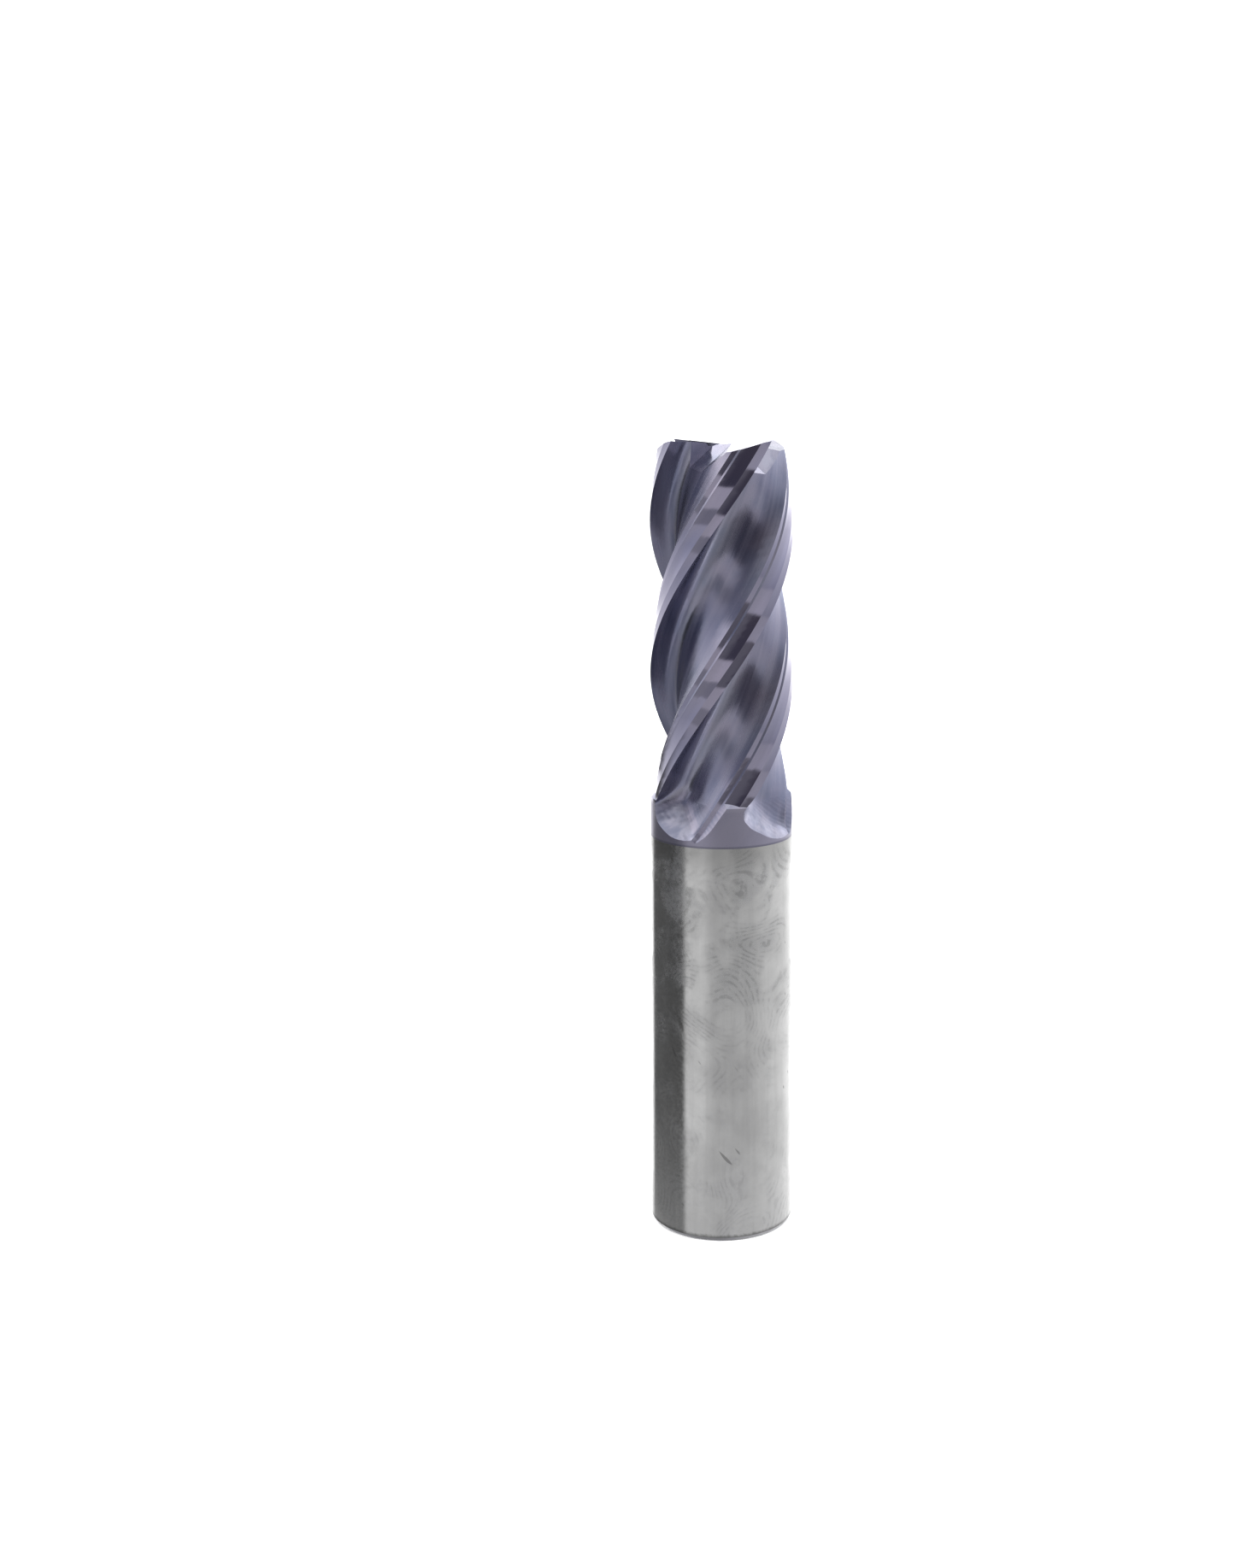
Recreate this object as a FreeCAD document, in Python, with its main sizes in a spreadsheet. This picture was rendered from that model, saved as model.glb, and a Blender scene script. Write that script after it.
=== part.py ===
"""Four-flute square end mill, 18 mm, solid carbide with a coated cutting end.

The tool stands on the end of its shank: +Z runs up the axis to the cutting end, and the origin is
the centre of the shank's end face. All lengths are in millimetres and all angles in degrees.

The real tool is one ground rod. It is modelled as the regions that a tool grinder names: the bare
shank, the coated collar where the flutes run out, the core (web) and the four teeth.
"""
import FreeCAD, Part
import Sketcher
import math
import os

Vector = FreeCAD.Vector

# ---------------------------------------------------------------------------------------------
# Driving dimensions
# ---------------------------------------------------------------------------------------------

SIZES = [
    ("tool_dia", 18.0, "cutting diameter, over the four cutting edges"),
    ("shank_dia", 18.0, "ground shank, nominal size of an h6 fit"),
    ("overall_length", 100.0, "shank end to cutting corners"),
    ("edge_length", 45.0, "length of the ground lands"),
    ("coated_length", 50.0, "length under the coating"),
    ("shank_chamfer", 0.5, "45 degree chamfer round the shank's end"),
    ("helix_angle", 35.0, "right-hand helix, from the axis"),
    ("first_tooth_angle", -47.0, "where tooth 1 has its corner, from +X towards +Y"),
    ("narrow_index", 86.0, "smaller of the two unequal tooth spacings"),
    ("core_ratio", 0.6, "core diameter over tool diameter"),
    ("web_cover", 0.55, "how far the web region reaches above the gullets"),
    ("rake_angle", 9.0, "radial rake of the cutting face"),
    ("gullet_radius", 1.8, "arc at the root of the cutting face"),
    ("seam_angle", 18.5, "where the regions of two teeth meet, ahead of the cutting edge"),
    ("back_bulge", 0.15, "how far the flute's back stands out from straight"),
    ("primary_width", 1.33, "first land behind the edge, across the axis"),
    ("primary_relief", 10.8, "its fall from the edge's tangent"),
    ("secondary_width", 2.1, "second land"),
    ("secondary_relief", 25.9, "its fall from the edge's tangent"),
    ("facet_width", 0.31, "steep facet behind the lands"),
    ("facet_fall", 63.0, "its fall from the edge's tangent"),
    ("heel_width", 0.71, "heel strip behind the facet"),
    ("heel_fall", 32.2, "its fall from the edge's tangent"),
    ("land_ramp", 0.8, "45 degree ramp from the lands up to the collar"),
    ("runout_radius", 5.0, "path of the wheel as it leaves the flute"),
    ("runout_drop", 1.55, "where the run-out ends on the rake side, below the lands' lower end"),
    ("runout_slant", 0.7, "how steeply that end falls away round the tool"),
    ("back_taper", 0.005, "how much the collar narrows over its length"),
    ("dish_angle", 3.0, "fall of the end edges towards the axis"),
    ("end_land", 1.0, "first land behind each end edge"),
    ("end_relief", 8.0, "its fall"),
    ("end_clearance", 15.5, "fall of the end face behind it"),
    ("gash_angle", 32.0, "fall of the gash's root away from the axis"),
    ("gash_floor", 2.5, "width of the gash's flat floor"),
    ("gash_floor_fall", 3.0, "fall of that floor away from the cutting wall"),
    ("gash_flank", 30.0, "rise of the gash's far side"),
    ("gash_rake", 10.0, "lean of the gash's cutting wall under the end edge"),
    ("gash_setback", 0.35, "gash's root behind the tooth's own radius"),
    ("end_lead_in", 4.2, "how far ahead of its edge each end face is ground"),
    ("gash_long", 0.7, "where the gashes of the two long end edges start, from the axis"),
    ("gash_short", -0.1, "the same for the two short end edges, just past the axis"),
]

doc = FreeCAD.newDocument("end_mill")
sheet = doc.addObject("Spreadsheet::Sheet", "Sizes")
for row, (alias, value, meaning) in enumerate(SIZES, start=1):
    sheet.set("A%d" % row, alias)
    sheet.set("B%d" % row, str(value))
    sheet.set("C%d" % row, meaning)
    sheet.setAlias("B%d" % row, alias)
doc.recompute()


def size(alias):
    """The value of one cell, as a plain number."""
    return float(sheet.get(alias))


RADIUS = size("tool_dia") / 2
TOP = size("overall_length")
LAND_END = TOP - size("edge_length")
COATING_LINE = TOP - size("coated_length")
RUNOUT_END = LAND_END - size("runout_drop")
CORE = RADIUS * size("core_ratio")
LEAD = math.pi * size("tool_dia") / math.tan(math.radians(size("helix_angle")))
WIDE_INDEX = 180.0 - size("narrow_index")
TOOTH_ANGLES = [
    size("first_tooth_angle"),
    size("first_tooth_angle") + WIDE_INDEX,
    size("first_tooth_angle") + 180.0,
    size("first_tooth_angle") + 180.0 + WIDE_INDEX,
]
SPACE_BEHIND = [size("narrow_index"), WIDE_INDEX, size("narrow_index"), WIDE_INDEX]


# ---------------------------------------------------------------------------------------------
# Plane geometry across the axis
# ---------------------------------------------------------------------------------------------


def twist(z):
    """How far the flutes have turned at height z, compared with the cutting end."""
    return (z - TOP) * 360.0 / LEAD


def turned(point, angle):
    """A point (x, y) turned about the axis."""
    a = math.radians(angle)
    return (
        point[0] * math.cos(a) - point[1] * math.sin(a),
        point[0] * math.sin(a) + point[1] * math.cos(a),
    )


def walk(start, width, fall):
    """The next point of a land: a straight step backwards from the edge, falling inwards."""
    a = math.radians(fall)
    return (start[0] - width * math.sin(a), start[1] - width * math.cos(a))


def land_points():
    """Corners of one tooth's back, with its cutting edge on +X: edge, first land's end, second
    land's end, facet's foot, heel."""
    points = [(RADIUS, 0.0)]
    for name, fall in (
        ("primary_width", "primary_relief"),
        ("secondary_width", "secondary_relief"),
        ("facet_width", "facet_fall"),
        ("heel_width", "heel_fall"),
    ):
        points.append(walk(points[-1], size(name), size(fall)))
    return points


def blend(a, b, t):
    """The point a fraction t of the way from a to b."""
    return (a[0] + (b[0] - a[0]) * t, a[1] + (b[1] - a[1]) * t)


def flute_points(space):
    """The flute from outside the tool, over the cutting edge, down the rake face, round the
    gullet and up the back to the heel of the tooth in front. The edge is on +X."""
    rake = size("rake_angle")
    gullet = size("gullet_radius")
    rise = math.radians(rake)
    along = (math.cos(rise), math.sin(rise))
    into = (-math.sin(rise), math.cos(rise))
    centre_radius = CORE + gullet
    centre_angle = rake + math.degrees(
        math.asin((gullet - RADIUS * math.sin(rise)) / centre_radius)
    )
    centre = turned((centre_radius, 0.0), centre_angle)
    foot = (centre[0] - gullet * into[0], centre[1] - gullet * into[1])
    heel = turned(land_points()[-1], space)
    reach = math.dist(centre, heel)
    towards = math.degrees(math.atan2(heel[1] - centre[1], heel[0] - centre[0]))
    last = towards + math.degrees(math.acos(gullet / reach))
    first = 270.0 + rake
    overshoot = 0.3 * RADIUS
    edge = (RADIUS, 0.0)
    outside = (edge[0] + overshoot * along[0], edge[1] + overshoot * along[1])
    points = [outside, edge, blend(edge, foot, 0.5)]
    arc_steps = 4
    for step in range(arc_steps + 1):
        angle = first + (last - first) * step / arc_steps
        points.append(
            (
                centre[0] + gullet * math.cos(math.radians(angle)),
                centre[1] + gullet * math.sin(math.radians(angle)),
            )
        )
    root = points[-1]
    chord = math.dist(root, heel)
    outwards = ((heel[1] - root[1]) / chord, -(heel[0] - root[0]) / chord)
    back_steps = 3
    for step in range(1, back_steps + 1):
        t = step / back_steps
        bulge = size("back_bulge") * 4 * t * (1 - t)
        straight = blend(root, heel, t)
        points.append((straight[0] + bulge * outwards[0], straight[1] + bulge * outwards[1]))
    return points


def facet_line(space):
    """The steep facet behind the lands of the tooth in front, carried outside the tool."""
    foot, top = land_points()[3], land_points()[2]
    carried_on = 12.0
    outside = blend(foot, top, carried_on)
    return turned(foot, space), turned(outside, space)


# ---------------------------------------------------------------------------------------------
# Solids along the helix
# ---------------------------------------------------------------------------------------------


def at(point, z):
    return Vector(point[0], point[1], z)


def twisted(points, bottom, top):
    """A closed outline, given as it lies at the cutting end, swept along the helix."""
    corners = [at(turned(p, twist(bottom)), bottom) for p in points]
    outline = Part.makePolygon(corners + corners[:1])
    spine = Part.Wire([Part.makeLine(Vector(0, 0, bottom), Vector(0, 0, top))])
    helix = Part.makeHelix(LEAD, top - bottom, RADIUS)
    helix.translate(Vector(0, 0, bottom))
    sweep = Part.BRepOffsetAPI.MakePipeShell(spine)
    sweep.setAuxiliarySpine(Part.Wire(helix.Edges), True, 0)
    sweep.add(outline)
    sweep.build()
    sweep.makeSolid()
    return sweep.shape()


def fluted_blank(bottom, top):
    """The head with its lands, before the flutes: each land line runs on past both its ends, and
    a small step beyond the heel is left for the flute to take away."""
    past_edge, past_second, step_up = 1.3, 1.2, 1.12
    outline = []
    for angle in TOOTH_ANGLES[::-1]:
        edge, first, second = land_points()[:3]
        ahead = blend(first, edge, past_edge)
        behind = blend(first, second, past_second)
        step = blend((0.0, 0.0), behind, step_up)
        outline += [turned(p, angle) for p in (ahead, first, behind, step)]
    return twisted(outline, bottom, top)


def retreat(angle, z):
    """How far the wheel has left the work, at a height and an angle ahead of the rake side,
    where it leaves first."""
    path = size("runout_radius")
    helix = math.radians(size("helix_angle"))
    slope_start = path * math.sin(math.pi / 4)
    rise_at_slope = path * (1 - math.cos(math.pi / 4))
    whole = slope_start + (RADIUS - CORE) - rise_at_slope
    arc = RADIUS * math.radians(angle)
    along = (z - RUNOUT_END) * math.cos(helix) + arc * size("runout_slant")
    before = whole - along
    if before <= 0:
        return 0.0
    if before <= slope_start:
        return path - math.sqrt(path * path - before * before)
    return rise_at_slope + before - slope_start


def flute_section(tooth_angle, space, z):
    """One closed wire across the flute at height z. The wide flutes are measured on the narrow
    ones' scale, so that all four run out to the same height."""
    evened = size("narrow_index") / space
    rake_now = tooth_angle + twist(z)
    rake_end = tooth_angle + twist(RUNOUT_END)

    def placed(point):
        radius = math.hypot(point[0], point[1])
        ahead = math.degrees(math.atan2(point[1], point[0]))
        radius += retreat(rake_now - rake_end + ahead * evened, z)
        return at(turned((radius, 0.0), rake_now + ahead), z)

    curve = Part.BSplineCurve()
    points = [placed(p) for p in flute_points(space)]
    curve.interpolate(points)
    foot, outside = (placed(p) for p in facet_line(space))
    far = 1.6 * RADIUS
    beyond = [turned((far, 0.0), space * share) for share in (0.75, 0.25)]
    corners = [points[-1], foot, outside] + [placed(p) for p in beyond] + [points[0]]
    edges = [curve.toShape()]
    edges += [Part.makeLine(a, b) for a, b in zip(corners, corners[1:])]
    return Part.Wire(edges)


def flute_cutter(tooth_angle, space):
    """What the wheel removes between two teeth, with the run-out at its lower end."""
    bottom = COATING_LINE - 0.2 * RADIUS
    runout_top = LAND_END + 0.55 * RADIUS
    fine, coarse = 0.8, 3.0
    heights = []
    z = bottom
    while z < TOP + coarse:
        heights.append(z)
        z += fine if z < runout_top else coarse
    wires = [flute_section(tooth_angle, space, z) for z in heights]
    return Part.makeLoft(wires, True, False)


# ---------------------------------------------------------------------------------------------
# The cutting end
# ---------------------------------------------------------------------------------------------


def tooth_frame(shape, tooth_angle):
    """Turn a shape built with its tooth on +X and the corner at height 0 into its place."""
    shape.rotate(Vector(0, 0, 0), Vector(0, 0, 1), tooth_angle)
    shape.translate(Vector(0, 0, TOP))
    return shape


def end_face_cutter(tooth_angle, space):
    """What is ground off above one tooth's end face: a land, then a steeper fall, both dished
    towards the axis, as far back as the next tooth's end edge."""
    land = size("end_land")
    first = math.tan(math.radians(size("end_relief")))
    second = math.tan(math.radians(size("end_clearance")))
    dish = math.tan(math.radians(size("dish_angle")))
    wide = 2.5 * RADIUS
    start = 1.5 * RADIUS
    high = 0.5 * RADIUS
    lift = (start - RADIUS) * dish
    section = [
        (wide, wide * first),
        (0.0, 0.0),
        (-land, -land * first),
        (-wide, -land * first - (wide - land) * second),
        (-wide, high),
        (wide, high),
    ]
    corners = [Vector(start, y, z + lift) for y, z in section]
    face = Part.Face(Part.makePolygon(corners + corners[:1]))
    above = face.extrude(Vector(-2 * start, 0, -2 * start * dish))
    lead_in = size("end_lead_in")
    arc = [lead_in - space, lead_in - space / 2, lead_in]
    rim = [at(turned((wide, 0.0), angle), -RADIUS) for angle in arc]
    centre = Vector(0, 0, -RADIUS)
    sector = Part.Face(Part.makePolygon([centre] + rim + [centre]))
    cell = sector.extrude(Vector(0, 0, 2 * RADIUS))
    return tooth_frame(above.common(cell), tooth_angle)


def gash_cutter(tooth_angle, nearest):
    """The gash in front of one end edge: a steep wall under the edge, a nearly flat floor that
    falls away from the axis, and a slanting far side."""
    lean = math.radians(size("gash_rake"))
    flank = math.tan(math.radians(size("gash_flank")))
    sag = size("gash_floor") * math.tan(math.radians(size("gash_floor_fall")))
    fall = math.tan(math.radians(size("gash_angle")))
    dish = math.tan(math.radians(size("dish_angle")))
    high = 0.8 * RADIUS
    inner = nearest - 0.3 * RADIUS
    root = -(RADIUS - nearest) * dish + (nearest - inner) * fall
    wall_foot = -size("gash_setback")
    floor_end = wall_foot + size("gash_floor")
    corners = [
        Vector(inner, wall_foot, root),
        Vector(inner, wall_foot + high * math.tan(lean), root + high),
        Vector(inner, floor_end + (high + sag) / flank, root + high),
        Vector(inner, floor_end, root - sag),
    ]
    face = Part.Face(Part.makePolygon(corners + corners[:1]))
    length = 1.2 * RADIUS
    return tooth_frame(face.extrude(Vector(length, 0, -length * fall)), tooth_angle)


# ---------------------------------------------------------------------------------------------
# Sub-parts
# ---------------------------------------------------------------------------------------------


def origin_plane(body, role):
    return next(o for o in body.Origin.OriginFeatures if o.Role == role)


def make_shank():
    """The bare ground shank: a round bar with a chamfer round its end."""
    body = doc.addObject("PartDesign::Body", "Shank")
    body.Label = "shank"
    sketch = body.newObject("Sketcher::SketchObject", "ShankCircle")
    sketch.AttachmentSupport = [(origin_plane(body, "XY_Plane"), "")]
    sketch.MapMode = "FlatFace"
    sketch.addGeometry(Part.Circle(Vector(0, 0, 0), Vector(0, 0, 1), size("shank_dia") / 2))
    sketch.addConstraint(Sketcher.Constraint("Coincident", 0, 3, -1, 1))
    diameter = sketch.addConstraint(Sketcher.Constraint("Diameter", 0, size("shank_dia")))
    sketch.setExpression("Constraints[%d]" % diameter, "Sizes.shank_dia")
    pad = body.newObject("PartDesign::Pad", "ShankPad")
    pad.Profile = sketch
    pad.setExpression("Length", "Sizes.overall_length - Sizes.coated_length")
    doc.recompute()
    chamfer = body.newObject("PartDesign::Chamfer", "ShankChamfer")
    rims = [
        "Edge%d" % number
        for number, edge in enumerate(pad.Shape.Edges, start=1)
        if edge.BoundBox.ZMax < 0.001
    ]
    chamfer.Base = (pad, rims)
    chamfer.setExpression("Size", "Sizes.shank_chamfer")
    doc.recompute()
    return body


def add_feature(name, shape):
    """A document object for a shape that has no primitive of its own."""
    feature = doc.addObject("Part::Feature", name)
    feature.Shape = shape
    feature.Placement = FreeCAD.Placement()
    return feature


def add_cylinder(name, diameter, bottom, top):
    """A bar on the axis, its sizes bound to the sheet by the three expressions."""
    bar = doc.addObject("Part::Cylinder", name)
    bar.setExpression("Radius", diameter + " / 2")
    bar.setExpression("Height", "(" + top + ") - (" + bottom + ")")
    bar.setExpression("Placement.Base.z", bottom)
    return bar


def add_boolean(kind, name, base, tool):
    result = doc.addObject("Part::" + kind, name)
    result.Base = base
    result.Tool = tool
    return result


def make_collar(flutes):
    """The coated full-diameter collar, with the run-outs of the four flutes in it."""
    blank = doc.addObject("Part::Cone", "CollarBlank")
    blank.setExpression("Radius1", "Sizes.tool_dia / 2 - Sizes.back_taper")
    blank.setExpression("Radius2", "Sizes.tool_dia / 2")
    blank.setExpression("Height", "Sizes.coated_length - Sizes.edge_length")
    blank.setExpression("Placement.Base.z", "Sizes.overall_length - Sizes.coated_length")
    collar = add_boolean("Cut", "Collar", blank, flutes)
    collar.Label = "coated_collar"
    return collar


def make_head(flutes):
    """Everything above the collar, in one piece: lands, ramps, flutes, end faces and gashes."""
    lands = fluted_blank(LAND_END, TOP + 0.1 * RADIUS)
    ramp = Part.makeCone(
        RADIUS, RADIUS - size("land_ramp"), size("land_ramp"), Vector(0, 0, LAND_END)
    )
    blank = add_feature("HeadBlank", lands.fuse(ramp))
    end_faces = [end_face_cutter(a, s) for a, s in zip(TOOTH_ANGLES, SPACE_BEHIND)]
    reaches = [size("gash_short"), size("gash_long")] * 2
    gashes = [gash_cutter(a, reach) for a, reach in zip(TOOTH_ANGLES, reaches)]
    end_tools = add_feature("EndTools", Part.makeCompound(end_faces + gashes))
    fluted = add_boolean("Cut", "FlutedHead", blank, flutes)
    return add_boolean("Cut", "Head", fluted, end_tools)


def make_web(head):
    """The core of the head, inside the web diameter."""
    bar = add_cylinder(
        "WebBar",
        "(Sizes.tool_dia * Sizes.core_ratio + 2 * Sizes.web_cover)",
        "Sizes.overall_length - Sizes.edge_length",
        "Sizes.overall_length",
    )
    web = add_boolean("Common", "Web", head, bar)
    web.Label = "web_core"
    return web, bar


def tooth_cell(tooth_angle, space_behind):
    """The helical sector round one tooth, from gullet to gullet."""
    first = tooth_angle - space_behind + size("seam_angle")
    steps = 4
    far = 1.5 * RADIUS
    overlap = 0.1 * RADIUS
    rim = [turned((far, 0.0), first + space_behind * i / steps) for i in range(steps + 1)]
    return twisted([(0.0, 0.0)] + rim, LAND_END - overlap, TOP + overlap)


def make_teeth(head, web_bar):
    """The four teeth, each standing on the web between two gullets."""
    ring = add_boolean("Cut", "ToothRing", head, web_bar)
    teeth = []
    for number, (angle, space) in enumerate(zip(TOOTH_ANGLES, SPACE_BEHIND), start=1):
        cell = add_feature("ToothCell%d" % number, tooth_cell(angle, space))
        tooth = add_boolean("Common", "Tooth%d" % number, ring, cell)
        tooth.Label = "tooth_%d" % number
        teeth.append(tooth)
    return teeth


def make_flutes():
    """The four flute cutters as one tool."""
    cutters = [
        flute_cutter(angle - space, space) for angle, space in zip(TOOTH_ANGLES, SPACE_BEHIND)
    ]
    return add_feature("FluteTools", Part.makeCompound(cutters))


# ---------------------------------------------------------------------------------------------
# Build, check and write
# ---------------------------------------------------------------------------------------------

flutes = make_flutes()
shank = make_shank()
collar = make_collar(flutes)
head = make_head(flutes)
web, web_bar = make_web(head)
teeth = make_teeth(head, web_bar)
doc.recompute()

for item in doc.Objects:
    if {"Invalid", "Error"} & set(item.State):
        raise RuntimeError("%s failed to build: %s" % (item.Label, item.State))

os.makedirs("parts", exist_ok=True)
for part in [shank, collar, web] + teeth:
    if part.Shape.isNull() or not part.Shape.isValid():
        raise RuntimeError("%s has no valid shape" % part.Label)
    print("%-14s %d solid, %8.1f mm3" % (part.Label, len(part.Shape.Solids), part.Shape.Volume))
    part.Shape.exportStep("parts/%s.step" % part.Label)
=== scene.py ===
# %% [markdown]
# # A four-flute end mill in Blender
#
# A solid-carbide end mill is one ground rod: a plain round shank that a chuck grips, and a fluted
# end that cuts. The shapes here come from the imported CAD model. What this lesson adds is the look:
# bare ground carbide on the shank, a violet-grey hard coating on the cutting end, and a small
# studio with a pale floor.

# %% Load the frame
import math

import bpy
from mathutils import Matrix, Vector


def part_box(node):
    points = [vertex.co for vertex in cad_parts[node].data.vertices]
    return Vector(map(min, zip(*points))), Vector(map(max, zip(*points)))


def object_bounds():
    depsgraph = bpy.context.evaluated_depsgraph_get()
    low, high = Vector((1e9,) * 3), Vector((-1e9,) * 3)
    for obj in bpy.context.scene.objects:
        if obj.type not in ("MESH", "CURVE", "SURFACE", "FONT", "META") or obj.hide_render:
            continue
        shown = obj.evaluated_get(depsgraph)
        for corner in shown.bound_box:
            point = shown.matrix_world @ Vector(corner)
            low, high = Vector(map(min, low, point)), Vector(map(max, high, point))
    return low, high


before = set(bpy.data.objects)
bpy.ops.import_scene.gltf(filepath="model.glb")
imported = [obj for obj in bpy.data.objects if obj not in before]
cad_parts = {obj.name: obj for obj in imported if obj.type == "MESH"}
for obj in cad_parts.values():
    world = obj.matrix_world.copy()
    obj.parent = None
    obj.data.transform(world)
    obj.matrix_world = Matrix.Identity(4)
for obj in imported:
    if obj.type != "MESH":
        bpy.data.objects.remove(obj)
cad_low, cad_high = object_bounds()
print("nodes:", sorted(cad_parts))
print("box of the CAD model, mm:", [round(1000 * (b - a), 2) for a, b in zip(cad_low, cad_high)])

# %% [markdown]
# ## The tool's own numbers
#
# A finish on a cutting tool follows how the tool was ground. Along the flutes the grinding lines
# are helices, so the materials need the helix: its angle from the axis, and from that its lead,
# the height in which a flute turns once round. The heights and the radius come from the boxes of
# the CAD nodes. The angle is the tool's own, because a box doesn't show it.

# %% Numbers that the finishes follow
shank_low, shank_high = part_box("shank")
collar_low, collar_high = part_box("coated_collar")
tip_height = cad_high[2]
coating_line = shank_high[2]
lands_end = collar_high[2]
tool_radius = (shank_high[0] - shank_low[0]) / 2
helix_angle = math.radians(35.0)
lead = 2 * math.pi * tool_radius / math.tan(helix_angle)
rib_pitch = 0.0006  # metres between two ribs where the wheel left the work
ribs_round = round(2 * math.pi * tool_radius * math.sin(helix_angle) / rib_pitch)
print("radius %.1f mm, lead %.1f mm" % (1000 * tool_radius, 1000 * lead))


# %% [markdown]
# ## Small helpers for node materials
#
# A material is a graph of nodes. Adding a node and joining its sockets takes three lines each
# time, so a helper that does both keeps the recipes below short enough to read.

# %% Helpers for node graphs
class Graph:
    """A node tree with short words for adding and joining nodes."""

    def __init__(self, tree):
        self.tree = tree
        tree.nodes.clear()

    def add(self, kind, inputs=None, **settings):
        node = self.tree.nodes.new(kind)
        for key, value in settings.items():
            setattr(node, key, value)
        for key, value in (inputs or {}).items():
            if isinstance(value, bpy.types.NodeSocket):
                self.tree.links.new(value, node.inputs[key])
            else:
                node.inputs[key].default_value = value
        return node

    def math(self, operation, a, b=0.0, c=0.0):
        """One step of arithmetic; c is the third number that MULTIPLY_ADD takes."""
        return self.add("ShaderNodeMath", {0: a, 1: b, 2: c}, operation=operation).outputs[0]

    def fade(self, value, low, high, to_low=0.0, to_high=1.0):
        """Maps a value smoothly from low..high to to_low..to_high."""
        inputs = {"Value": value, 1: low, 2: high, 3: to_low, 4: to_high}
        node = self.add("ShaderNodeMapRange", inputs, interpolation_type="SMOOTHSTEP")
        return node.outputs[0]

    def mix(self, factor, a, b):
        node = self.add("ShaderNodeMix", {0: factor, 6: a, 7: b}, data_type="RGBA")
        return node.outputs[2]

    def noise(self, vector, scale, detail, roughness, distortion=0.0):
        """Soft noise with about scale patches per metre."""
        inputs = {
            "Vector": vector,
            "Scale": scale,
            "Detail": detail,
            "Roughness": roughness,
            "Distortion": distortion,
        }
        return self.add("ShaderNodeTexNoise", inputs).outputs["Fac"]

    def drawn_out(self, vector, along):
        """The same point with its height scaled, which draws a pattern out along the tool."""
        return self.add("ShaderNodeMapping", {"Vector": vector, "Scale": (1, 1, along)}).outputs[0]

    def as_grey(self, value):
        """A grey colour made of one number that varies."""
        return self.add("ShaderNodeCombineColor", {0: value, 1: value, 2: value}).outputs[0]

    def metal(self, tone, rough, relief, strength, depth):
        """Ends the graph with a metal whose grain is relief, depth metres deep."""
        bump = {"Height": relief, "Strength": strength, "Distance": depth}
        grain = self.add("ShaderNodeBump", bump).outputs[0]
        shader = self.add(
            "ShaderNodeBsdfPrincipled",
            {"Base Color": tone, "Metallic": 1.0, "Roughness": rough, "Normal": grain},
        )
        self.add("ShaderNodeOutputMaterial", {"Surface": shader.outputs[0]})


def new_material(name):
    material = bpy.data.materials.new(name)
    material.use_nodes = True
    return material, Graph(material.node_tree)


def grey(value):
    return (value, value, value, 1.0)


print("helpers ready")

# %% [markdown]
# ## The coated cutting end
#
# The coating is a few microns of hard nitride. It is metallic, slate to violet-grey, and as smooth
# as the grinding under it. The lands are ground last, with a fine wheel, so they mirror sharply.
# The flutes keep the marks of a coarser wheel, which run along each helix and smear what they
# mirror. Where the wheel left the work, at the collar, its marks lie across the flute as fine ribs.
#
# The pattern follows the helix like this: a point is turned back about the axis by its height,
# which straightens the flutes, and its height is then scaled down, which draws the noise out into
# long marks.


# %% Where on the tool a point lies
def position(g):
    """A point on the tool, and its three coordinates."""
    place = g.add("ShaderNodeTexCoord").outputs["Object"]
    return place, g.add("ShaderNodeSeparateXYZ", {0: place}).outputs


def outward_measures(g, axes):
    """Distance from the axis, and how squarely the surface faces outwards."""
    flat = g.add("ShaderNodeCombineXYZ", {0: axes["X"], 1: axes["Y"]}).outputs[0]
    outwards = g.add("ShaderNodeVectorMath", {0: flat}, operation="NORMALIZE").outputs["Vector"]
    radius = g.add("ShaderNodeVectorMath", {0: flat}, operation="LENGTH").outputs["Value"]
    faces = g.add("ShaderNodeNewGeometry").outputs["Normal"]
    facing = g.add(
        "ShaderNodeVectorMath", {0: faces, 1: outwards}, operation="DOT_PRODUCT"
    ).outputs["Value"]
    return radius, facing


def straightened(g, place, height):
    """The same point with the helix taken out of it."""
    back_turn = g.math("MULTIPLY", height, -2 * math.pi / lead)
    return g.add(
        "ShaderNodeVectorRotate", {"Vector": place, "Angle": back_turn}, rotation_type="Z_AXIS"
    ).outputs[0]


print("helix taken out by %.0f degrees per mm" % (-360 / (1000 * lead)))


# %% Coated carbide
SLATE_DARK = (0.20, 0.21, 0.285, 1)
SLATE_PALE = (0.32, 0.32, 0.40, 1)
VIOLET = (0.30, 0.275, 0.345, 1)
LAND_TONE = (0.31, 0.295, 0.38, 1)
COATING_EDGE = (0.10, 0.10, 0.14, 1)
SPECK_TONE = (0.18, 0.17, 0.22, 1)
COLLAR_BLEND = 0.0008
EDGE_FROM, EDGE_TO = 0.00035, 0.0001  # how far above the coating line its dark edge fades in
COATING_SCALE = {"fine": 5200.0, "bands": 620.0, "cloud": 240.0, "speck": 9000.0, "wander": 420.0}


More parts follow.
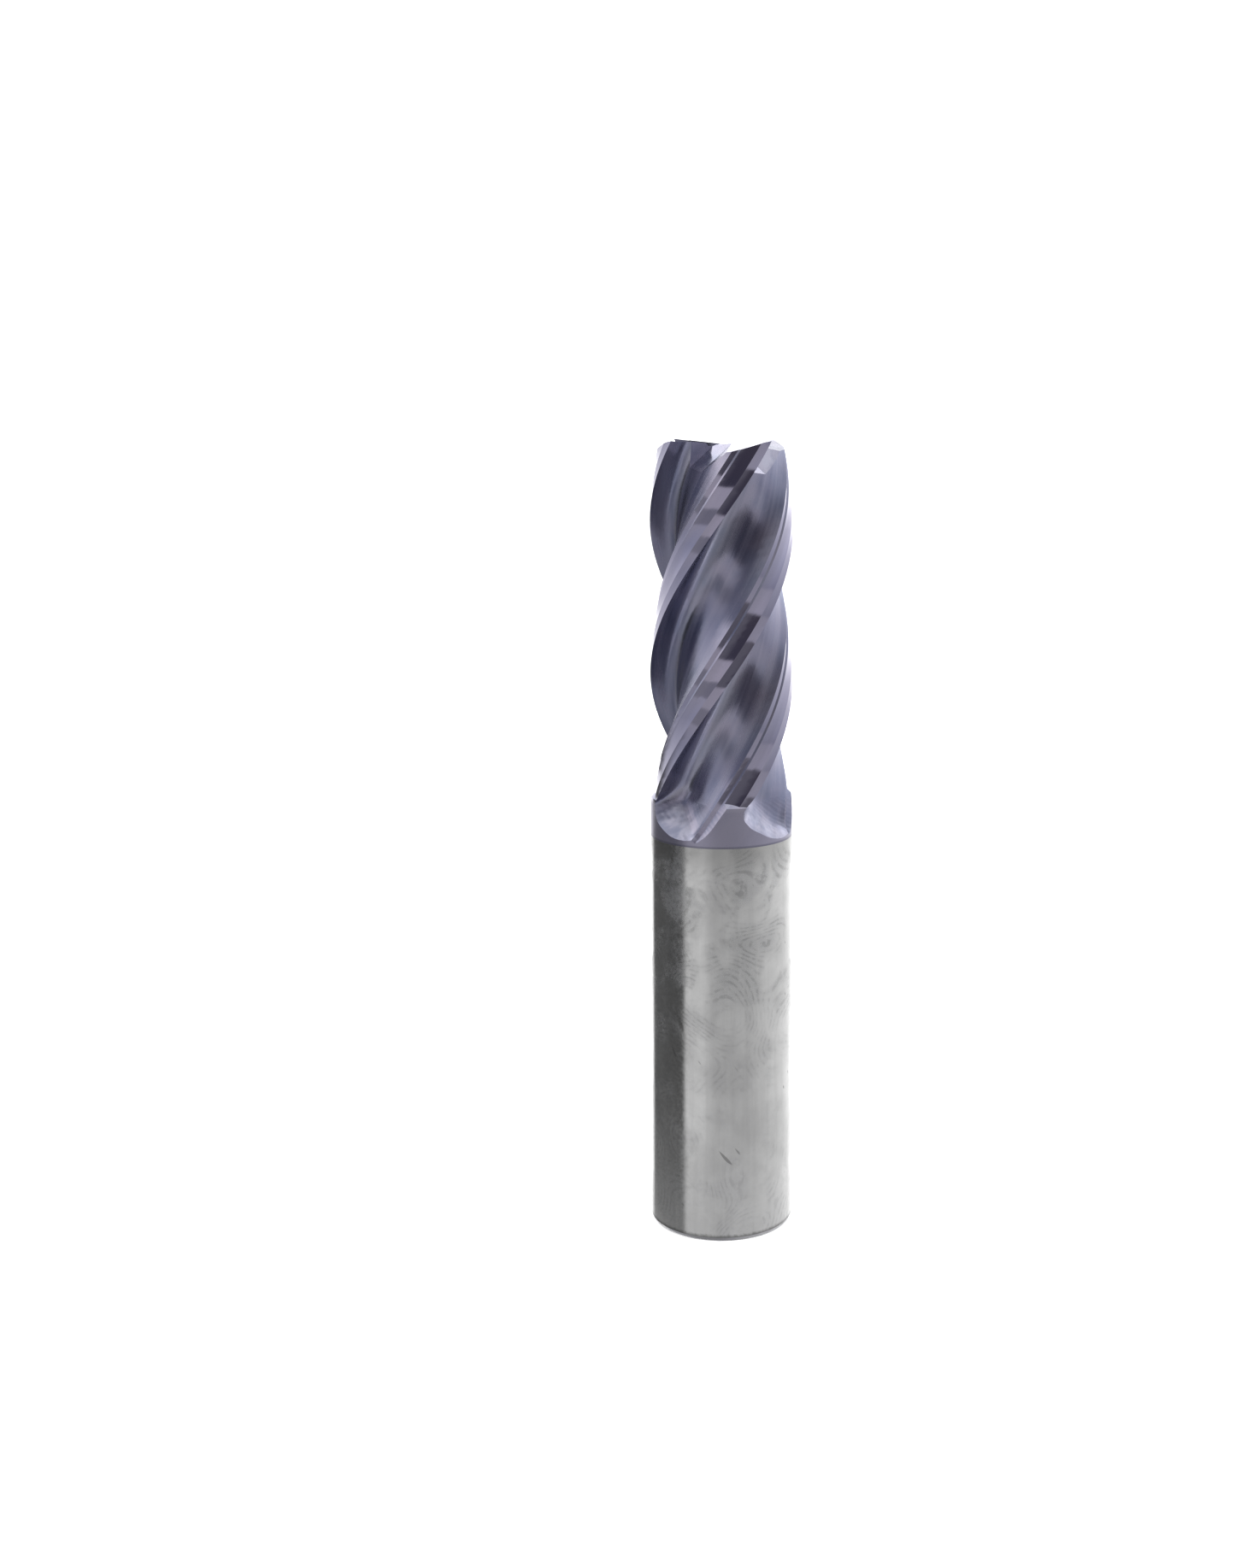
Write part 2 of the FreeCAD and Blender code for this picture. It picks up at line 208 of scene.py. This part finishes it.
def coated_carbide():
    material, g = new_material("coated carbide")
    place, axes = position(g)
    radius, facing = outward_measures(g, axes)
    straight = straightened(g, place, axes["Z"])
    fine = g.noise(g.drawn_out(straight, 0.012), COATING_SCALE["fine"], 3.0, 0.6)
    bands = g.noise(g.drawn_out(straight, 0.05), COATING_SCALE["bands"], 2.0, 0.5)
    cloud = g.noise(place, COATING_SCALE["cloud"], 3.0, 0.6)
    speck = g.noise(place, COATING_SCALE["speck"], 2.0, 0.7)

    # A land is near the outside of the tool and faces squarely outwards. A scoop is where a flute
    # runs out, so it is in the collar and doesn't face outwards.
    outer = g.fade(radius, 0.84 * tool_radius, 0.88 * tool_radius)
    square_on = g.fade(facing, 0.80, 0.90)
    land = g.math("MULTIPLY", outer, square_on)
    collar = g.fade(axes["Z"], lands_end, lands_end - COLLAR_BLEND)
    scoop = g.math("MULTIPLY", collar, g.fade(facing, 0.9995, 0.995))

    # Ribs lie across the flute: their phase grows both round the tool and along it.
    flat = g.add("ShaderNodeSeparateXYZ", {0: straight}).outputs
    round_flute = g.math("ARCTAN2", flat["Y"], flat["X"])
    up_flute = g.math("MULTIPLY", axes["Z"], 2 * math.pi / (rib_pitch * math.cos(helix_angle)))
    phase = g.math("MULTIPLY_ADD", round_flute, ribs_round, up_flute)
    wander = g.math("MULTIPLY", g.noise(place, COATING_SCALE["wander"], 1.0, 0.5), 9.0)
    ribs = g.math("SINE", g.math("ADD", phase, wander))

    slate = g.mix(g.fade(bands, 0.35, 0.65), SLATE_DARK, SLATE_PALE)
    tone = g.mix(g.fade(cloud, 0.35, 0.65, 0.0, 0.4), slate, VIOLET)
    tone = g.mix(g.math("MULTIPLY", land, 0.8), tone, LAND_TONE)
    edge = g.fade(axes["Z"], coating_line + EDGE_FROM, coating_line + EDGE_TO)
    tone = g.mix(g.math("MULTIPLY", edge, 0.55), tone, COATING_EDGE)
    tone = g.mix(g.fade(speck, 0.62, 0.72, 0.0, 0.35), tone, SPECK_TONE)

    flute_rough = g.fade(bands, 0.3, 0.7, 0.19, 0.30)
    land_rough = g.fade(fine, 0.3, 0.7, 0.07, 0.11)
    rough = g.mix(land, g.as_grey(flute_rough), g.as_grey(land_rough))
    rough = g.mix(collar, rough, grey(0.32))

    relief = g.math("MULTIPLY", fine, g.fade(land, 0.0, 1.0, 1.0, 0.25))
    relief = g.math("ADD", relief, g.math("MULTIPLY", ribs, g.math("MULTIPLY", scoop, 0.9)))
    relief = g.math("ADD", relief, g.math("MULTIPLY", speck, g.math("MULTIPLY", collar, 0.5)))
    g.metal(tone, rough, relief, strength=0.35, depth=0.000012)
    return material


coating = coated_carbide()
print("made", coating.name)

# %% [markdown]
# ## The bare shank
#
# Ground carbide is a neutral grey that mirrors well. It isn't even: fingers leave cloudy smears
# with fine wavy ridges in them, most of all on the upper half where the tool is held, and the
# furnace leaves the shank a little darker just below the coating. A few short scratches complete
# it, and a dark band of painted shade along the foot stands in for the dark that the chamfer
# mirrors.


# %% Bare carbide
HEAT_TINT = (0.27, 0.27, 0.265, 1)
TINT_FROM, TINT_TO = 0.0045, 0.0003  # how far below the coating line the furnace's tint grows
FOOT_FROM, FOOT_TO = 0.0013, 0.0008  # the heights between which the foot turns dark with painted shade
SHANK_SCALE = {
    "cloud": 120.0, "fine": 2600.0, "smear": 210.0, "whorl": 90.0, "break": 1500.0,
    "scratch": 1100.0, "streak": 900.0,
}


def bare_carbide():
    material, g = new_material("bare carbide")
    place, axes = position(g)
    height = axes["Z"]
    cloud = g.noise(place, SHANK_SCALE["cloud"], 4.0, 0.6)
    fine = g.noise(place, SHANK_SCALE["fine"], 4.0, 0.7)

    # Finger ridges are the level lines of a slow noise, kept where the tool was held.
    smear = g.noise(place, SHANK_SCALE["smear"], 3.0, 0.55, 0.6)
    whorl = g.noise(place, SHANK_SCALE["whorl"], 0.5, 0.4, 0.3)
    ridges = g.math("SINE", g.math("MULTIPLY", whorl, 230.0))
    upper = g.fade(height, 0.35 * coating_line, 0.8 * coating_line, 0.45, 1.0)
    held = g.math("MULTIPLY", g.fade(smear, 0.40, 0.66), upper)
    broken = g.fade(g.noise(place, SHANK_SCALE["break"], 2.0, 0.6), 0.35, 0.6)
    lines = g.math("MULTIPLY", g.fade(ridges, -0.2, 0.9), g.math("MULTIPLY", held, broken))

    # Noise drawn out along a slant leaves a few short scratches where it is highest.
    slanted = g.add(
        "ShaderNodeMapping", {"Vector": place, "Rotation": (0.0, 0.62, 0.0)}
    ).outputs[0]
    short_marks = g.noise(g.drawn_out(slanted, 0.14), SHANK_SCALE["scratch"], 1.0, 0.5)
    scratches = g.fade(short_marks, 0.755, 0.785)
    streaks = g.noise(g.drawn_out(place, 0.06), SHANK_SCALE["streak"], 3.0, 0.6)

    tone = g.mix(g.fade(cloud, 0.35, 0.65), grey(0.52), grey(0.62))
    tone = g.mix(g.fade(streaks, 0.4, 0.7, 0.0, 0.25), tone, grey(0.42))
    tone = g.mix(g.math("MULTIPLY", held, 0.34), tone, grey(0.34))
    tone = g.mix(g.math("MULTIPLY", lines, 0.42), tone, grey(0.20))
    tone = g.mix(g.math("MULTIPLY", scratches, 0.6), tone, grey(0.14))
    tint = g.fade(height, coating_line - TINT_FROM, coating_line - TINT_TO, 0.0, 0.55)
    tone = g.mix(tint, tone, HEAT_TINT)
    # Painted shade: the foot turns dark grey, standing in for the dark that its chamfer mirrors, and
    # a fine noise makes the edge of that shade ragged.
    ragged_shade_edge = g.math("MULTIPLY", fine, 0.0006)
    foot = g.fade(g.math("ADD", height, ragged_shade_edge), FOOT_FROM, FOOT_TO)
    tone = g.mix(g.math("MULTIPLY", foot, 0.8), tone, grey(0.13))

    rough = g.math("ADD", g.fade(fine, 0.3, 0.7, 0.12, 0.19), g.math("MULTIPLY", held, 0.14))
    relief = g.math("ADD", fine, g.math("MULTIPLY", lines, 0.7))
    g.metal(tone, rough, relief, strength=0.22, depth=0.00002)
    return material


ground = bare_carbide()
print("made", ground.name)

# %% Give every node its finish
for name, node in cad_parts.items():
    finish = ground if name == "shank" else coating
    for slot in node.material_slots:
        slot.material = finish
    print(name, "->", finish.name)

# %% [markdown]
# ## The studio
#
# Polished metal shows what is round it more than its own colour. A tool is shown among white
# cards with a dark gap in front, and those edges draw the bright and dark steps along the lands.
# The world below is such a ring of cards, written as brightness against the direction round the
# tool: five rings, from far below the tool to well above it. Over the highest ring a bright soft
# box hangs behind the tool, and a plain pale ceiling closes the top.

# %% Brightness of the cards, as degrees round the tool and a colour
WHITE = (3.0, 3.0, 3.0)
WARM = (2.0, 1.86, 1.84)
LOW_CARDS = [
    (-180, (0.60, 0.60, 0.64)), (-122, (0.62, 0.62, 0.66)), (-96, (0.30, 0.31, 0.36)),
    (-70, (0.42, 0.43, 0.48)), (-40, (0.46, 0.47, 0.52)), (-20, (0.30, 0.31, 0.38)),
    (0, (0.78, 0.79, 0.86)), (14, (0.50, 0.52, 0.62)), (28, (1.0, 1.0, 1.08)),
    (44, (0.60, 0.62, 0.72)), (60, (1.4, 1.4, 1.5)), (80, (1.2, 1.22, 1.32)),
    (96, (0.48, 0.52, 0.66)), (110, (0.20, 0.25, 0.42)), (128, (0.18, 0.27, 0.54)),
    (146, (0.60, 0.62, 0.70)), (160, (1.0, 1.0, 1.05)), (180, (0.60, 0.60, 0.64)),
]
FOOT_CARDS = [
    (-180, (1.4, 1.4, 1.4)), (-144, (0.46, 0.46, 0.46)), (-64, (0.36, 0.36, 0.36)),
    (-58, (0.74, 0.74, 0.74)), (0, (0.70, 0.70, 0.70)), (60, (0.72, 0.72, 0.72)),
    (110, (0.95, 0.95, 0.95)), (180, (1.4, 1.4, 1.4)),
]
FLOOR_CARDS = [
    (-180, (1.9, 1.9, 1.9)), (-150, (1.5, 1.5, 1.5)), (-144, (0.13, 0.13, 0.13)),
    (-64, (0.085, 0.085, 0.085)), (-61, (0.88, 0.88, 0.88)), (-30, (0.84, 0.84, 0.84)),
    (-12, (0.60, 0.60, 0.60)), (46, (0.62, 0.62, 0.62)), (76, (0.82, 0.82, 0.82)),
    (120, (1.05, 1.05, 1.05)), (150, (1.5, 1.5, 1.5)), (180, (1.9, 1.9, 1.9)),
]
LEVEL_CARDS = [
    (-180, WHITE), (-150, (1.8, 1.8, 1.85)), (-118, (1.3, 1.32, 1.38)),
    (-102, (1.0, 1.03, 1.12)), (-80, (0.66, 0.69, 0.80)), (-58, (0.74, 0.74, 0.80)),
    (-56, (0.42, 0.42, 0.46)), (-40, (0.40, 0.40, 0.44)), (-38, (0.86, 0.83, 0.86)),
    (-16, (0.84, 0.81, 0.85)), (-14, (0.105, 0.10, 0.135)), (34, (0.125, 0.115, 0.14)),
    (36, (0.80, 0.79, 0.84)), (61, (0.76, 0.75, 0.80)), (63, (0.56, 0.57, 0.66)),
    (90, (0.95, 0.98, 1.08)), (125, (1.7, 1.72, 1.8)), (150, WHITE), (180, WHITE),
]
HIGH_CARDS = [
    (-180, (1.2, 1.2, 1.2)), (-130, (0.55, 0.57, 0.66)), (-114, WARM), (-84, WARM),
    (-72, (0.34, 0.36, 0.46)), (-20, (0.24, 0.24, 0.29)), (20, (0.17, 0.145, 0.16)),
    (60, (0.30, 0.31, 0.37)), (84, (0.90, 0.92, 1.0)), (130, (1.2, 1.2, 1.25)),
    (180, (1.2, 1.2, 1.2)),
]
RINGS = [LOW_CARDS, FOOT_CARDS, FLOOR_CARDS, LEVEL_CARDS, HIGH_CARDS]

# Brightness of what lies above the rings, and of the haze on the level ring.
SOFT_BOX_FRONT, SOFT_BOX_BEHIND, CEILING, HAZE = 0.7, 3.4, 1.4, 0.55

# Where each ring, the soft box and the ceiling take over from what is below them, as the upward
# part of a direction.
TAKE_OVER = [
    (-0.60, -0.46), (-0.415, -0.365), (-0.16, -0.06), (0.34, 0.46), (0.58, 0.64), (0.70, 0.78),
]
print("cards in the rings, from below upwards:", [len(ring) for ring in RINGS])


# %% Ring of cards
def card_ramp(g, turn, cards):
    """A colour ramp with one stop for each card edge."""
    ramp = g.add("ShaderNodeValToRGB", {0: turn})
    elements = ramp.color_ramp.elements
    elements.remove(elements[1])
    for number, (degrees, colour) in enumerate(cards):
        position = (degrees + 180.0) / 360.0
        stop = elements[0] if number == 0 else elements.new(position)
        stop.position = position
        stop.color = (*colour, 1.0)
    return ramp.outputs[0]


def ring_of_cards():
    world = bpy.data.worlds.new("ring of cards")
    world.use_nodes = True
    bpy.context.scene.world = world
    g = Graph(world.node_tree)
    direction = g.add("ShaderNodeTexCoord").outputs["Generated"]
    split = g.add("ShaderNodeSeparateXYZ", {0: direction})
    rise = split.outputs["Z"]
    towards_front = g.math("MULTIPLY", split.outputs["Y"], -1.0)
    round_angle = g.math("ARCTAN2", split.outputs["X"], towards_front)
    turn = g.math("MULTIPLY_ADD", round_angle, 0.5 / math.pi, 0.5)
    low, foot, below, level, high = [card_ramp(g, turn, ring) for ring in RINGS]
    level = g.mix(g.fade(rise, 0.16, 0.02, 0.0, 0.35), level, grey(HAZE))
    behind = g.fade(split.outputs["Y"], 0.10, 0.30)
    soft_box = g.mix(behind, grey(SOFT_BOX_FRONT), grey(SOFT_BOX_BEHIND))
    colour = low
    for (start, end), above in zip(TAKE_OVER, [foot, below, level, high, soft_box, grey(CEILING)]):
        colour = g.mix(g.fade(rise, start, end), colour, above)
    background = g.add("ShaderNodeBackground", {"Color": colour, "Strength": 1.0})
    g.add("ShaderNodeOutputWorld", {"Surface": background.outputs[0]})
    return world


cards = ring_of_cards()
print("world:", cards.name)

# %% [markdown]
# ## Floor and lights
#
# The floor is wide and nearly white, so that it runs out of the picture on every side. Two large
# soft lights above the tool, one on each side, put a faint shadow round its foot. The floor and
# the lights aren't mirrored in the metal, which shows the cards alone.


# %% Floor
FLOOR_SIDE = 4.0


def pale_floor():
    bpy.ops.object.select_all(action="DESELECT")
    bpy.ops.mesh.primitive_plane_add(size=FLOOR_SIDE, location=(0, 0, shank_low[2]))
    floor = bpy.context.object
    floor.name = "floor"
    material, g = new_material("pale floor")
    shader = g.add("ShaderNodeBsdfPrincipled", {"Base Color": grey(0.9), "Roughness": 0.6})
    g.add("ShaderNodeOutputMaterial", {"Surface": shader.outputs[0]})
    floor.data.materials.append(material)
    floor.visible_glossy = False
    return floor


floor = pale_floor()
print("floor at height", floor.location.z)


# %% Soft lights
def soft_light(name, place, side, power):
    """A square soft light, side metres wide, that points at the middle of the tool."""
    data = bpy.data.lights.new(name, "AREA")
    data.shape = "SQUARE"
    data.size = side
    data.energy = power
    light = bpy.data.objects.new(name, data)
    bpy.context.scene.collection.objects.link(light)
    light.location = place
    towards = Vector((0, 0, tip_height / 2)) - light.location
    light.rotation_euler = towards.to_track_quat("-Z", "Y").to_euler()
    light.visible_glossy = False
    return light


key = soft_light("key light", place=(-0.5, -0.5, 0.8), side=0.6, power=12.0)
fill = soft_light("fill light", place=(0.6, -0.2, 0.7), side=0.6, power=10.0)
print("lights:", key.name, "and", fill.name)

# %% [markdown]
# ## The camera
#
# The tool is seen from close by, just above its cutting end, so the coating line and the foot
# curve downwards while the end stays a straight line. The lens is shifted a little, as on a
# product camera, which keeps the shank's sides upright.

# %% Camera
camera_distance = 26.9 * tool_radius
camera_rise = 0.588 * tool_radius
camera_pitch = 0.091
camera_data = bpy.data.cameras.new("camera")
camera_data.sensor_width = 36.0
camera_data.lens = 44.31826
camera_data.shift_x = -0.0662670
camera_data.shift_y = -0.1342779
camera = bpy.data.objects.new("camera", camera_data)
bpy.context.scene.collection.objects.link(camera)
camera.location = (0, -camera_distance, tip_height + camera_rise)
camera.rotation_euler = (math.pi / 2 - camera_pitch, 0, 0)
bpy.context.scene.camera = camera
bpy.context.scene.view_settings.view_transform = "Standard"
print("lens %.1f mm" % camera_data.lens)
print("shift %.3f %.3f" % (camera_data.shift_x, camera_data.shift_y))

# %% [markdown]
# ## The tool's size
#
# The finishes and the studio must not change the tool's size. The box of the CAD model is
# printed where the model is loaded.

# %% Finish
print("finished")
